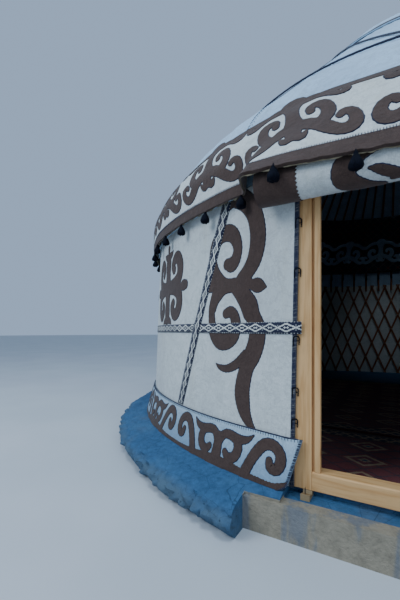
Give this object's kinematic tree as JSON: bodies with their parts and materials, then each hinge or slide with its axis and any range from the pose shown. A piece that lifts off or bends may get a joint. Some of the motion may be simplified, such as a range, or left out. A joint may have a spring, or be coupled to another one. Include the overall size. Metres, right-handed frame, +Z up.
{
  "type": "yurt",
  "caption": "Round felt-covered lattice-wall yurt on a low masonry plinth, with a bent-pole roof, an open crown ring, horn-scroll felt bands and a pine door frame under a rolled-up felt door.",
  "frame": {"origin": "on the ground under the middle of the round room, in the plinth's bottom face", "axes": "+Z up, the door faces -Y, +X is to the right of someone looking in"},
  "size_m": [6.636, 6.5517, 4.587],
  "materials": {
    "masonry": "rough painted mortar over cobbles",
    "pine": "planed pine, clear oil",
    "stop_pine": "planed pine, clear oil",
    "lattice_wood": "willow laths stained red-brown",
    "pole_wood": "bent willow poles stained red-brown",
    "crown_wood": "bent birch stained red",
    "white_felt": "pressed sheep's wool felt",
    "roof_felt": "pressed sheep's wool felt",
    "band_felt": "pressed wool felt with brown applique",
    "skirt_felt": "pressed wool felt with brown applique",
    "door_felt": "pressed wool felt with brown border",
    "woven_band": "navy and white woven wool band",
    "black_wool": "wool yarn tassels",
    "hair_rope": "twisted hair rope",
    "frieze": "dark woven textile",
    "rug": "short pile rug"
  },
  "bodies": {
    "root": {"plinth": "masonry", "sill": "pine", "jamb_left": "pine", "jamb_right": "pine", "lintel": "pine", "stop_left": "stop_pine", "stop_right": "stop_pine", "stop_head": "stop_pine", "frame_wedges": "pine", "lattice_front_left": "lattice_wood", "lattice_front_right": "lattice_wood", "lattice_rear_left": "lattice_wood", "lattice_rear_right": "lattice_wood", "roof_poles_front": "pole_wood", "roof_poles_left": "pole_wood", "roof_poles_right": "pole_wood", "roof_poles_rear": "pole_wood", "crown_ring": "crown_wood", "crown_bows": "crown_wood", "wall_felt_front_left": "white_felt", "wall_felt_front_right": "white_felt", "wall_felt_rear_left": "white_felt", "wall_felt_rear_right": "white_felt", "skirt_left": "skirt_felt", "skirt_right": "skirt_felt", "roof_felt_front": "roof_felt", "roof_felt_left": "roof_felt", "roof_felt_right": "roof_felt", "roof_felt_rear": "roof_felt", "roof_band_front": "band_felt", "roof_band_left": "band_felt", "roof_band_right": "band_felt", "roof_band_rear": "band_felt", "girth_band": "woven_band", "slant_bands": "woven_band", "outer_tassels": "black_wool", "door_felt_roll": "door_felt", "crown_cover": "roof_felt", "roof_ropes": "hair_rope", "jamb_ties": "hair_rope", "inner_frieze": "frieze", "inner_tassels": "frieze", "entry_rug": "rug", "main_rug": "rug"}
  },
  "joints": []
}
